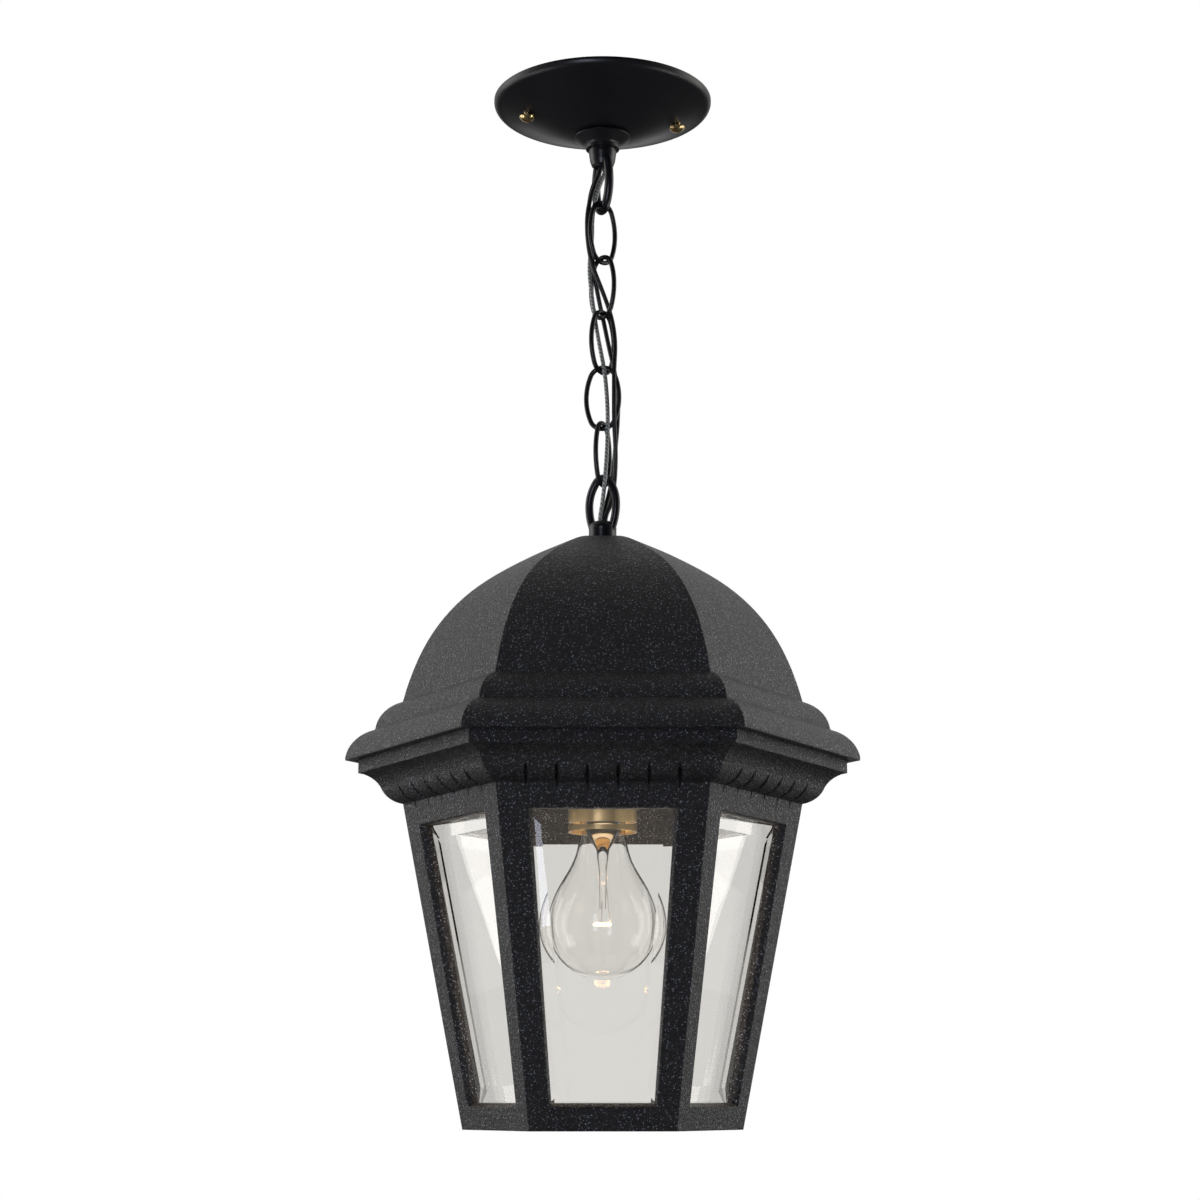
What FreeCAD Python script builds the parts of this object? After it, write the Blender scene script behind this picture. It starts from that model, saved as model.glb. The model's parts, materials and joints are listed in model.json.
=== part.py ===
"""Six-sided hanging lantern: ceiling canopy, five-link chain, cast roof and cage, bevelled panes.

Millimetres, +Z up. The origin is the centre of the canopy's ceiling face, so all of the lamp is
at negative z. One face of the hexagon looks toward -Y. Lantern shapes are drawn with z = 0 at the
cage's bottom plane, and are dropped by HANG when they are saved.
"""

import FreeCAD
import Part
import math
import os

V = FreeCAD.Vector
COS30 = math.cos(math.radians(30))
X_AXIS, Y_AXIS, Z_AXIS = V(1, 0, 0), V(0, 1, 0), V(0, 0, 1)

# -- overall -----------------------------------------------------------------------------------
HANG = 588.5  # ceiling face down to the cage's bottom plane
FIT = 0.05  # radial clearance of a running or threaded fit

# -- canopy ------------------------------------------------------------------------------------
CANOPY_R = 63.5  # five-inch canopy
CANOPY_SHEET = 1.2
SCREW_PCD = 88.9  # canopy screws, three and a half inches apart
BOX_PCD = 69.85  # ceiling box screws, two and three quarter inches apart
SCREW_YAW = -170.0  # the line of the canopy screws, nearer end on the left
SCREW_R = 2.05
HEAD_R = 4.7
STRAP = (104.0, 20.0, 1.6)  # length, width, thickness
GROUND_AT = (18.0, 4.0)  # ground screw, along and across the strap
PIPE_R, PIPE_BORE = 4.8, 3.6  # threaded pipe, one-eighth IP

# -- loops and chain ---------------------------------------------------------------------------
RING_HALF = 8.95  # widest point of a loop's ring, from the axis to the wire's centre
RING_END, RING_RISE = 5.6, 10.0  # radius of its end bend, and that bend's centre past the widest
RING_FOOT_R, RING_FOOT = 35.4, 24.5  # radius and sweep in degrees of the sides down to the feet
CANOPY_WIRE, LANTERN_WIRE, LINK_WIRE = 2.6, 2.3, 1.4  # section radii
LINK_LONG, LINK_WIDE, LINK_END = 39.0, 22.0, 7.6  # outer length, outer width, end bend radius
LINK_GAP = 0.2  # air between one link's wire and the next
CANOPY_LOOP_LOW = 518.9  # lowest point of the canopy's loop
LINK_YAWS = (42.0, -47.0, 48.0, -14.0, 66.0)
CANOPY_LOOP_YAW, LANTERN_LOOP_YAW = -65.0, -32.5

# -- roof and cage, as apothems ------------------------------------------------------------------
CAGE_FOOT, CAGE_SHOULDER, SHOULDER_Z = 65.3, 95.33, 175.3
TILT = math.atan((CAGE_SHOULDER - CAGE_FOOT) / SHOULDER_Z)
WALL = 6.5
BAND, BAND_Z, CAGE_TOP = 117.1, 192.4, 203.0
LIP, LIP_Z, ROOF_TOP = 123.5, 199.5, 325.0
OPEN_LOW, OPEN_HIGH = 12.2, 162.3  # heights of a window's lower and upper edge
OPEN_HALF = (26.4, 37.0)  # half widths of the window's throat, low and high
EDGE_ROUND = (1.6, 3.0)  # rounding of the window's outer edge, low and high
FLUTES = (-39.4, -23.6, -7.9, 7.9, 23.6, 39.4)  # across each face of the shoulder moulding
FLUTE_REACH, FLUTE_ANGLE = 9.0, 20.0  # depth of the flute cutter and half its opening angle

# -- panes ---------------------------------------------------------------------------------------
PANE_V = (9.4, 168.5)  # bottom and top edge, up the slope
PANE_HALF = (31.0, 44.8)
PANE_BEVEL, PANE_EDGE, PANE_THICK = 12.7, 2.4, 4.0
PANE_FRONT = -8.3  # the thin edge's outer face, behind the cage's outer face
CLIP_SCREW_V = 177.0
ROOF_SCREW_R = 110.0  # roof screws, from the axis toward every other corner

# -- lamp ------------------------------------------------------------------------------------------
CUP_R, CUP_LOW, CUP_HIGH, CUP_SHEET = 18.85, 159.7, 199.0, 0.9
BULB_R, BULB_LOW = 29.9, 79.4
FILAMENT_R, FILAMENT_Z = 4.4, 109.5  # radius of the filament's arc, and its height
CAP_R, CAP_LOW = 12.9, 163.0

# -- leads: route of each centre line, from the canopy's wireway down to the lantern's ------------
LEAD_R, GROUND_R = 1.3, 1.2
LINE_ROUTE = [
    (-0.9, -1.6, 551.0), (-0.9, -1.6, 545.5), (-5.0, -2.5, 535.0), (-9.0, -3.0, 520.0),
    (-9.0, -2.5, 504.0), (-6.5, -2.0, 488.0), (0.0, -0.5, 472.0), (5.5, 0.0, 456.0),
    (7.5, -1.5, 440.0), (6.5, -5.0, 424.0), (6.5, -6.0, 408.0), (6.5, -5.0, 392.0),
    (7.5, -2.0, 376.0), (7.0, 1.0, 360.0), (5.0, 0.5, 346.0), (1.3, -0.6, 338.0),
    (1.3, -0.6, 333.5)]
NEUTRAL_ROUTE = [
    (-1.5, 1.2, 551.0), (-1.5, 1.2, 545.5), (-6.5, 0.5, 535.0), (-8.5, 0.0, 520.0),
    (-7.5, 0.0, 504.0), (-5.5, 1.5, 488.0), (-3.0, 3.5, 472.0), (0.5, 5.5, 456.0),
    (3.5, 3.5, 440.0), (7.0, 1.5, 424.0), (9.0, 1.5, 408.0), (8.5, 1.5, 392.0),
    (7.0, 2.5, 376.0), (5.5, 3.0, 360.0), (2.0, 3.5, 346.0), (0.1, 2.0, 338.0),
    (0.1, 2.0, 333.5)]
GROUND_ROUTE = [
    (1.9, 0.3, 551.0), (1.9, 0.3, 545.5), (-2.5, -0.5, 535.0), (-6.0, 1.5, 520.0),
    (-6.0, 4.0, 504.0), (-8.0, 4.0, 488.0), (-6.5, 2.0, 472.0), (-4.5, 0.0, 456.0),
    (-2.0, -2.0, 440.0), (1.0, -4.0, 424.0), (2.5, -5.0, 408.0), (3.0, -5.5, 392.0),
    (2.5, -6.5, 376.0), (1.5, -6.0, 360.0), (0.0, -4.0, 346.0), (-1.5, -1.3, 338.0),
    (-1.5, -1.3, 333.5)]


def polygon(points):
    """Closed face in the XZ plane through (x, z) points."""
    return Part.Face(Part.makePolygon([V(x, 0, z) for x, z in points + [points[0]]]))


def turned(points):
    """Solid of revolution about Z of a closed (r, z) outline."""
    return polygon(points).revolve(V(0, 0, 0), Z_AXIS, 360)


def turned_wire(edges):
    """Solid of revolution about Z of a closed outline of edges in the XZ plane."""
    return Part.Face(Part.Wire(edges)).revolve(V(0, 0, 0), Z_AXIS, 360)


def line(a, b):
    """Straight edge between two (x, z) points of the XZ plane."""
    return Part.makeLine(V(a[0], 0, a[1]), V(b[0], 0, b[1]))


def arc(a, b, c):
    """Arc through three (x, z) points of the XZ plane."""
    return Part.Arc(*(V(x, 0, z) for x, z in (a, b, c))).toShape()


def spline(points):
    """Smooth curve through (x, z) points of the XZ plane."""
    curve = Part.BSplineCurve()
    curve.interpolate([V(x, 0, z) for x, z in points])
    return curve.toShape()


def six_sided(edges):
    """Solid whose six faces all follow the outline edges, given from the axis out and back.

    The last edge lies on the axis and is left out, since the outline is mirrored there.
    """
    both = edges[:-1] + [edge.mirror(V(0, 0, 0), X_AXIS) for edge in edges[:-1]]
    outline = Part.Face(Part.Wire(Part.sortEdges(both)[0]))
    solid = None
    for turn in (90, 150, 210):
        slab = outline.extrude(V(0, 400, 0))
        slab.translate(V(0, -200, 0))
        slab.rotate(V(0, 0, 0), Z_AXIS, turn)
        solid = slab if solid is None else solid.common(slab)
    return solid


def pillar(radius, low, high, x=0.0, y=0.0, bore=0.0):
    """Upright cylinder or tube between two heights."""
    solid = Part.makeCylinder(radius, high - low, V(x, y, low))
    if bore:
        solid = solid.cut(Part.makeCylinder(bore, high - low + 2, V(x, y, low - 1)))
    return solid


def hex_nut(across, low, high, bore):
    """Hexagonal nut on the axis."""
    corner = across / 2 / COS30
    ring = [V(corner * math.cos(math.radians(60 * k)), corner * math.sin(math.radians(60 * k)), low)
            for k in range(7)]
    nut = Part.Face(Part.makePolygon(ring)).extrude(V(0, 0, high - low))
    return nut.cut(Part.makeCylinder(bore, high - low + 2, V(0, 0, low - 1)))


def on_face(k):
    """Placement of face k: x across it, y up its slope, z outward, from its foot's centre."""
    s, c = math.sin(TILT), math.cos(TILT)
    frame = FreeCAD.Matrix(1, 0, 0, 0, 0, -s, -c, -CAGE_FOOT, 0, c, -s, 0, 0, 0, 0, 1)
    turn = FreeCAD.Matrix()
    turn.rotateZ(math.radians(60 * k))
    return turn.multiply(frame)


def trapezoid(half, up, depth):
    """Closed wire at one depth on a face, given its low and high half widths and heights."""
    corners = [(-half[0], up[0]), (half[0], up[0]), (half[1], up[1]), (-half[1], up[1])]
    points = [V(x, y, depth) for x, y in corners]
    return Part.makePolygon(points + [points[0]])


def saved(name, shape, drop=0.0):
    """Write one node's STEP file, lowered by drop."""
    shape = shape.copy()
    shape.translate(V(0, 0, -drop))
    solids = shape.Solids
    if len(solids) == 1:
        shape = solids[0]
    if not shape.isValid():
        print("invalid:", name)
    if not solids:
        print("no solid:", name)
    shape.exportStep("parts/%s.step" % name)
    print("%-20s %d solid(s) %10.1f mm3" % (name, len(solids), shape.Volume))
    return shape


def bent_wire(centre, radius, start, end, wire):
    """Round wire bent about a centre (x, z) of the XZ plane, between two angles in degrees."""
    a = math.radians(start)
    point = V(centre[0] + radius * math.cos(a), 0, centre[1] + radius * math.sin(a))
    disc = Part.Face(Part.Wire(Part.makeCircle(wire, point, V(-math.sin(a), 0, math.cos(a)))))
    return disc.revolve(V(centre[0], 0, centre[1]), V(0, -1, 0), end - start)


def make_link(top, yaw, split_right):
    """Oval chain link, its butt joint left open on one side, hanging from height top."""
    half_wide, half_long = LINK_WIDE / 2 - LINK_WIRE, LINK_LONG / 2 - LINK_WIRE
    rise = half_long - LINK_END
    gain = half_wide - LINK_END
    offset = (rise ** 2 - gain ** 2) / (2 * gain)
    swing = math.degrees(math.atan2(rise, offset))
    bends = [bent_wire((0, rise), LINK_END, swing, 180 - swing, LINK_WIRE),
             bent_wire((0, -rise), LINK_END, 180 + swing, 360 - swing, LINK_WIRE),
             bent_wire((-offset, 0), half_wide + offset, -swing, swing, LINK_WIRE),
             bent_wire((offset, 0), half_wide + offset, 180 - swing, 180 + swing, LINK_WIRE)]
    link = bends[0].multiFuse(bends[1:])
    side = 1 if split_right else -1
    slit = Part.makeBox(6, 6, 0.35, V(side * half_wide - 3, -3, 1.2))
    link = link.cut(slit)
    link.rotate(V(0, 0, 0), Z_AXIS, yaw)
    link.translate(V(0, 0, top - half_long))
    return link


def make_ring(wire, end_z, yaw, up):
    """Oval ring of round wire whose end bend passes height end_z and whose feet close in."""
    gain = RING_HALF - RING_END
    offset = (RING_RISE ** 2 - gain ** 2) / (2 * gain)
    swing = math.degrees(math.atan2(RING_RISE, offset))
    inward = RING_FOOT_R - RING_HALF
    ring = bent_wire((0, RING_RISE), RING_END, swing, 180 - swing, wire)
    ring = ring.multiFuse([bent_wire((-offset, 0), RING_HALF + offset, 0, swing, wire),
                           bent_wire((offset, 0), RING_HALF + offset, 180 - swing, 180, wire),
                           bent_wire((-inward, 0), RING_FOOT_R, -RING_FOOT, 0, wire),
                           bent_wire((inward, 0), RING_FOOT_R, 180, 180 + RING_FOOT, wire)])
    foot = math.radians(RING_FOOT)
    for side in (-1, 1):
        ring = ring.fuse(Part.makeSphere(wire, V(side * (RING_FOOT_R * math.cos(foot) - inward), 0,
                                                 -RING_FOOT_R * math.sin(foot))))
    if not up:
        ring.rotate(V(0, 0, 0), X_AXIS, 180)
    ring.rotate(V(0, 0, 0), Z_AXIS, yaw)
    reach = RING_RISE + RING_END
    ring.translate(V(0, 0, end_z - reach if up else end_z + reach))
    return ring


def make_canopy():
    """Pressed canopy with a round hole for each of its screws."""
    t = CANOPY_SHEET
    outside = [(5.0, 566.4), (16.0, 567.6), (40.0, 576.2), (59.4, 583.4)]
    shell = turned_wire([
        spline(outside),
        arc((59.4, 583.4), (62.6, 585.0), (CANOPY_R, 587.0)),
        line((CANOPY_R, 587.0), (CANOPY_R, HANG)), line((CANOPY_R, HANG), (CANOPY_R - t, HANG)),
        line((CANOPY_R - t, HANG), (CANOPY_R - t, 587.4)),
        arc((CANOPY_R - t, 587.4), (61.6, 585.9), (59.0, 584.6)),
        spline([(59.0, 584.6), (39.6, 577.4), (15.8, 568.8), (5.0, 567.6)]),
        line((5.0, 567.6), (5.0, 566.4))])
    for side in (-1, 1):
        x, y = (side * SCREW_PCD / 2 * f(math.radians(SCREW_YAW)) for f in (math.cos, math.sin))
        shell = shell.cut(pillar(SCREW_R + 0.5, 560, 590, x, y))
    return shell


def make_strap():
    """Mounting strap that is screwed to the ceiling box and takes the pipe and canopy screws."""
    long, wide, thick = STRAP
    strap = Part.makeBox(long - wide, wide, thick, V(-(long - wide) / 2, -wide / 2, HANG - thick))
    for side in (-1, 1):
        strap = strap.fuse(pillar(wide / 2, HANG - thick, HANG, side * (long - wide) / 2))
        strap = strap.cut(pillar(2.4, 580, 590, side * BOX_PCD / 2))
        strap = strap.cut(pillar(SCREW_R + FIT, 580, 590, side * SCREW_PCD / 2))
    strap = strap.cut(pillar(PIPE_R + FIT, 580, 590))
    strap = strap.cut(pillar(1.65, 580, 590, *GROUND_AT))
    strap.rotate(V(0, 0, 0), Z_AXIS, SCREW_YAW)
    return strap


def round_head_screw(x, y, head_z, tip_z, radius, head_r, slot_turn):
    """Slotted round-head screw, head down at head_z, tip up at tip_z."""
    rise = head_r * 0.62
    cap_r = (head_r ** 2 + rise ** 2) / (2 * rise)
    ball = Part.makeSphere(cap_r, V(0, 0, head_z - rise + cap_r))
    head = ball.common(Part.makeCylinder(head_r * 1.2, rise, V(0, 0, head_z - rise)))
    slot = Part.makeBox(head_r * 2.4, head_r * 0.26, rise * 0.5,
                        V(-head_r * 1.2, -head_r * 0.13, head_z - rise - 0.01))
    slot.rotate(V(0, 0, 0), Z_AXIS, slot_turn)
    screw = head.cut(slot).fuse(Part.makeCylinder(radius, tip_z - head_z, V(0, 0, head_z)))
    screw = screw.removeSplitter()
    screw.translate(V(x, y, 0))
    return screw


def make_collar():
    """Flared cap between the canopy and its loop."""
    return turned([(5.0, 558.8), (9.75, 558.8), (9.75, 560.6), (10.6, 561.6), (16.25, 565.6),
                   (16.25, 566.3), (12.0, 566.3), (5.0, 565.9)])


def make_canopy_loop():
    """Cast loop: threaded body with a wireway, and a ring that carries the first link."""
    body = turned([(0, 547.6), (5.2, 547.6), (6.4, 548.7), (7.3, 551.4), (8.0, 556.0),
                   (8.0, 558.7), (0, 558.7)])
    loop = body.fuse(make_ring(CANOPY_WIRE, CANOPY_LOOP_LOW + CANOPY_WIRE, CANOPY_LOOP_YAW, False))
    loop = loop.cut(pillar(PIPE_R + FIT, 551.5, 560))
    return loop.cut(pillar(PIPE_BORE, 545, 560)).removeSplitter()


def make_lantern_loop(top):
    """Cast loop on the roof, with its wireway; its wire's centre passes height top."""
    body = turned_wire([
        line((0, 325.15), (7.8, 325.15)), line((7.8, 325.15), (7.8, 330.4)),
        arc((7.8, 330.4), (7.0, 333.6), (4.4, 335.2)), line((4.4, 335.2), (0, 335.2)),
        line((0, 335.2), (0, 325.15))])
    loop = body.fuse(make_ring(LANTERN_WIRE, top, LANTERN_LOOP_YAW, True))
    loop = loop.cut(pillar(PIPE_R + FIT, 320, 332.2))
    return loop.cut(pillar(PIPE_BORE, 320, 340)).removeSplitter()


def make_roof():
    """Cast roof: domed six-sided shell over two rolls and a lip that covers the cage's band."""
    outside = six_sided([
        line((0, LIP_Z), (LIP - 0.1, LIP_Z)), line((LIP - 0.1, LIP_Z), (LIP, 201.0)),
        arc((LIP, 201.0), (120.5, 208.9), (110.0, 216.5)), line((110.0, 216.5), (109.3, 217.1)),
        arc((109.3, 217.1), (106.6, 224.8), (96.3, 232.3)),
        spline([(96.3, 232.3), (91.3, 250.6), (81.4, 273.1), (63.0, 296.0), (37.8, 313.6),
                (18.0, 323.0), (9.0, ROOF_TOP)]),
        line((9.0, ROOF_TOP), (0, ROOF_TOP)), line((0, ROOF_TOP), (0, LIP_Z))])
    inside = six_sided([
        line((0, 202.9), (104.0, 202.9)), line((104.0, 202.9), (104.0, 213.0)),
        line((104.0, 213.0), (92.5, 227.0)), line((92.5, 227.0), (91.5, 234.0)),
        spline([(91.5, 234.0), (87.0, 249.5), (77.4, 270.5), (59.6, 291.8), (35.6, 308.4),
                (14.0, 317.6)]),
        line((14.0, 317.6), (0, 317.6)), line((0, 317.6), (0, 202.9))])
    seat = six_sided([line((0, 190), (BAND + 1.2, 190)), line((BAND + 1.2, 190), (BAND + 1.2, 203.1)),
                      line((BAND + 1.2, 203.1), (0, 203.1)), line((0, 203.1), (0, 190))])
    roof = outside.cut(inside).cut(seat)
    for x, y in corner_points(ROOF_SCREW_R, (0, 2, 4)):
        boss = pillar(7.0, 203.1, 226.0, x, y).common(outside)
        roof = roof.fuse(boss).cut(pillar(SCREW_R + FIT, 200, 216.0, x, y))
    return roof.cut(pillar(PIPE_R + FIT, 310, 330)).removeSplitter()


def corner_points(radius, which=range(6)):
    """Points (x, y) at one radius in the directions of the hexagon's corners."""
    return [(radius * math.cos(math.radians(60 * k)), radius * math.sin(math.radians(60 * k)))
            for k in which]


def make_cage():
    """Cast cage: six windowed walls that lean out, a fluted shoulder and the band on top."""
    foot, shoulder = (CAGE_FOOT, 0.0), (CAGE_SHOULDER, SHOULDER_Z)
    slope = math.tan(TILT)
    outside = six_sided([
        line((0, 0), foot), line(foot, shoulder),
        arc(shoulder, (103.2, 179.6), (106.2, 184.6)),
        arc((106.2, 184.6), (109.4, 188.7), (116.4, BAND_Z)), line((116.4, BAND_Z), (BAND, BAND_Z)),
        line((BAND, BAND_Z), (BAND, CAGE_TOP)), line((BAND, CAGE_TOP), (0, CAGE_TOP)),
        line((0, CAGE_TOP), (0, 0))])
    ledge = 8.6
    inner = [(0, -1), (CAGE_FOOT - 12.0, -1), (CAGE_FOOT - 12.0 + ledge * slope, ledge),
             (CAGE_FOOT - WALL + ledge * slope, ledge), (CAGE_FOOT - WALL + 180 * slope, 180.0),
             (103.0, 194.0), (104.0, CAGE_TOP + 1), (0, CAGE_TOP + 1)]
    edges = [line(a, b) for a, b in zip(inner, inner[1:] + inner[:1])]
    cage = outside.cut(six_sided(edges))
    high = OPEN_HIGH / math.cos(TILT)
    low = OPEN_LOW / math.cos(TILT)
    window = Part.Face(trapezoid(OPEN_HALF, (low + 1.0, high - 1.0), 5)).extrude(V(0, 0, -30))
    grow = [a + b for a, b in zip(OPEN_HALF, EDGE_ROUND)]
    mouths = [trapezoid(grow, (low - 0.4, high + 1.2), 1.2),
              trapezoid([a + b * 0.45 for a, b in zip(OPEN_HALF, EDGE_ROUND)],
                        (low + 0.3, high - 0.4), -0.9),
              trapezoid(OPEN_HALF, (low + 1.0, high - 1.0), -3.0)]
    mouth = Part.makeLoft(mouths[:2], True, True).fuse(Part.makeLoft(mouths[1:], True, True))
    cutters = []
    for k in range(6):
        for shape in (window, mouth):
            cutter = shape.copy()
            cutters.append(cutter.transformGeometry(on_face(k)))
        cutters += [groove(k, x) for x in FLUTES]
        cutters.append(Part.makeCylinder(1.6, 5.4, V(0, CLIP_SCREW_V, -WALL - 0.5))
                       .transformGeometry(on_face(k)))
    for cutter in cutters:
        cage = cage.cut(cutter)
    for x, y in corner_points(ROOF_SCREW_R, (0, 2, 4)):
        lug = pillar(8.6, 197.0, CAGE_TOP, x, y).common(outside)
        cage = cage.fuse(lug).cut(pillar(SCREW_R + 0.3, 190, 210, x, y))
    return cage.removeSplitter()


def groove(k, x):
    """Sickle-shaped flute cutter on face k, x from its centre: down the moulding, then a short tick.

    Its section is a triangle that lies flat, so its root follows the three (apothem, z) points.
    """
    root = [V(0, -r, z) for r, z in ((106.4, 184.9), (93.2, 175.4), (94.3, 169.5))]
    wide = X_AXIS * (FLUTE_REACH * math.tan(math.radians(FLUTE_ANGLE)))
    cutter = None
    for high, low in zip(root, root[1:]):
        mouth = high - Y_AXIS * FLUTE_REACH
        section = Part.makePolygon([high, mouth + wide, mouth - wide, high])
        run = Part.Face(section).extrude(low - high)
        cutter = run if cutter is None else cutter.fuse(run)
    cutter.translate(V(x, 0, 0))
    cutter.rotate(V(0, 0, 0), Z_AXIS, 60 * k)
    return cutter


def make_pane(k):
    """Bevelled pane of face k: a full-thickness field inside a sloping border."""
    edge = Part.Face(trapezoid(PANE_HALF, PANE_V, PANE_FRONT)).extrude(V(0, 0, -PANE_EDGE))
    field_half = [h - PANE_BEVEL for h in PANE_HALF]
    field_v = (PANE_V[0] + PANE_BEVEL, PANE_V[1] - PANE_BEVEL)
    rise = PANE_THICK - PANE_EDGE
    bevel = Part.makeLoft([trapezoid(PANE_HALF, PANE_V, PANE_FRONT),
                           trapezoid(field_half, field_v, PANE_FRONT + rise)], True, True)
    return edge.fuse(bevel).removeSplitter().transformGeometry(on_face(k))


def make_clip(k):
    """Bent steel clip on the top rail of face k that holds the pane's upper edge."""
    back = PANE_FRONT - PANE_EDGE - 0.1
    profile = [(163.5, back), (169.2, back), (169.2, -WALL - 0.1), (181.0, -WALL - 0.1),
               (181.0, -WALL - 1.3), (170.4, -WALL - 1.3), (170.4, back - 1.2),
               (163.5, back - 1.2)]
    points = [V(-6, y, z) for y, z in profile]
    clip = Part.Face(Part.makePolygon(points + [points[0]])).extrude(V(12, 0, 0))
    clip = clip.cut(Part.makeCylinder(1.7, 10, V(0, CLIP_SCREW_V, -12)))
    return clip.transformGeometry(on_face(k))


def make_clip_screw(k):
    """Pan-head screw that holds the clip of face k."""
    head = Part.makeCylinder(3.0, 2.0, V(0, CLIP_SCREW_V, -WALL - 3.35))
    head = head.cut(Part.makeBox(8, 0.8, 0.8, V(-4, CLIP_SCREW_V - 0.4, -WALL - 3.4)))
    screw = head.fuse(Part.makeCylinder(1.5, 5.0, V(0, CLIP_SCREW_V, -WALL - 1.35)))
    return screw.removeSplitter().transformGeometry(on_face(k))


def make_cup():
    """Spun brass cup over the lamp socket, open below."""
    r, t = CUP_R, CUP_SHEET
    return turned_wire([
        line((r - t, CUP_LOW), (r, CUP_LOW)), line((r, CUP_LOW), (r, 187.0)),
        arc((r, 187.0), (15.6, 195.4), (8.0, CUP_HIGH)), line((8.0, CUP_HIGH), (4.85, CUP_HIGH)),
        line((4.85, CUP_HIGH), (4.85, CUP_HIGH - t)), line((4.85, CUP_HIGH - t), (8.0, CUP_HIGH - t)),
        arc((8.0, CUP_HIGH - t), (14.9, 194.8), (r - t, 187.0)),
        line((r - t, 187.0), (r - t, CUP_LOW))])


def make_bulb_glass():
    """Clear blown envelope, open at the neck where the cap is cemented on."""
    t = 0.8
    centre = BULB_LOW + BULB_R
    out = [(BULB_R, centre), (28.6, 118.6), (22.6, 132.5), (16.4, 143.6), (13.7, 152.0),
           (12.4, 162.0)]
    back = [(12.4 - t, 162.0), (12.9, 152.0), (15.6, 143.2), (21.9, 132.0), (27.85, 118.4),
            (BULB_R - t, centre)]
    low = BULB_R * math.sin(math.radians(45))
    low_in = (BULB_R - t) * math.sin(math.radians(45))
    return turned_wire([
        arc((0, BULB_LOW), (low, centre - low), (BULB_R, centre)), spline(out),
        line((12.4, 162.0), (12.4, 167.9)), line((12.4, 167.9), (12.4 - t, 167.9)),
        line((12.4 - t, 167.9), (12.4 - t, 162.0)), spline(back),
        arc((BULB_R - t, centre), (low_in, centre - low_in), (0, BULB_LOW + t)),
        line((0, BULB_LOW + t), (0, BULB_LOW))])


def rod(a, b, radius):
    """Round bar between two points."""
    a, b = V(*a), V(*b)
    return Part.makeCylinder(radius, (b - a).Length, a, b - a)


def make_filament():
    """Lead-in wires and the coiled filament that they hold."""
    ring = Part.makeTorus(FILAMENT_R, 0.6, V(0, 0, 0), Z_AXIS, 0, 360, 320)
    ring.rotate(V(0, 0, 0), Z_AXIS, 20)
    ring.translate(V(0, 0, FILAMENT_Z))
    shape = ring
    for turn, side in ((20, 1), (340, -1)):
        x, y = (FILAMENT_R * f(math.radians(turn)) for f in (math.cos, math.sin))
        shape = shape.fuse(rod((x, y, FILAMENT_Z), (1.6, 0.9 * side, 142.0), 0.35))
        shape = shape.fuse(Part.makeSphere(0.7, V(x, y, FILAMENT_Z)))
    for turn in (100, 180, 260):
        c, s = math.cos(math.radians(turn)), math.sin(math.radians(turn))
        shape = shape.fuse(rod((FILAMENT_R * c, FILAMENT_R * s, FILAMENT_Z),
                               (1.4 * c, 1.4 * s, 122.0), 0.3))
    return shape.removeSplitter()


def make_lead(route, radius):
    """Round tube along straight runs joined by tangent arcs; prints its tightest bend."""
    points = [V(*p) for p in route]
    edges, start, tightest = [], points[0], 1e9
    for before, corner, after in zip(points, points[1:], points[2:]):
        back, ahead = (before - corner), (after - corner)
        reach = 0.45 * min(back.Length, ahead.Length)
        back.normalize()
        ahead.normalize()
        enter, leave = corner + back * reach, corner + ahead * reach
        bulge = reach / math.tan((math.pi - back.getAngle(ahead)) / 2)
        tightest = min(tightest, bulge)
        inward = (back + ahead).normalize()
        centre = corner + inward * math.hypot(bulge, reach)
        middle = centre - inward * bulge
        edges += [Part.LineSegment(start, enter).toShape(),
                  Part.Arc(enter, middle, leave).toShape()]
        start = leave
    edges.append(Part.LineSegment(start, points[-1]).toShape())
    path = Part.Wire(edges)
    section = Part.Wire(Part.makeCircle(radius, points[0], points[1] - points[0]))
    tube = path.makePipeShell([section], True, False)
    print("length %.1f mm, tightest bend %.1f mm, volume is %.4f of section x length"
          % (path.Length, tightest, tube.Volume / (math.pi * radius ** 2 * path.Length)))
    return tube


def save_leads():
    """Supply leads and ground lead along the chain."""
    for name, route, radius in (("lead_line", LINE_ROUTE, LEAD_R),
                                ("lead_neutral", NEUTRAL_ROUTE, LEAD_R),
                                ("lead_ground", GROUND_ROUTE, GROUND_R)):
        saved(name, make_lead(route, radius), HANG)


def save_canopy():
    """Canopy, its fixings and its loop, down to where the first link hangs."""
    saved("canopy_plate", make_canopy(), HANG)
    saved("mounting_strap", make_strap(), HANG)
    for name, turn in (("canopy_screw_near", SCREW_YAW), ("canopy_screw_far", SCREW_YAW + 180)):
        x, y = (SCREW_PCD / 2 * f(math.radians(turn)) for f in (math.cos, math.sin))
        saved(name, round_head_screw(x, y, 575.95, HANG - 0.2, SCREW_R, HEAD_R, 35), HANG)
    (x, y), a = GROUND_AT, math.radians(SCREW_YAW)
    gx, gy = x * math.cos(a) - y * math.sin(a), x * math.sin(a) + y * math.cos(a)
    strap_low = HANG - STRAP[2]
    saved("ground_screw", round_head_screw(gx, gy, strap_low - 0.05, HANG - 0.1, 1.6, 3.4, 80), HANG)
    saved("canopy_pipe", pillar(PIPE_R, 551.6, HANG - 0.2, bore=PIPE_BORE), HANG)
    saved("canopy_locknut", hex_nut(14.0, 568.5, 571.7, PIPE_R + FIT), HANG)
    saved("strap_locknut", hex_nut(14.0, strap_low - 3.3, strap_low - 0.05, PIPE_R + FIT), HANG)
    saved("canopy_collar", make_collar(), HANG)
    saved("canopy_loop", make_canopy_loop(), HANG)


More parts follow.
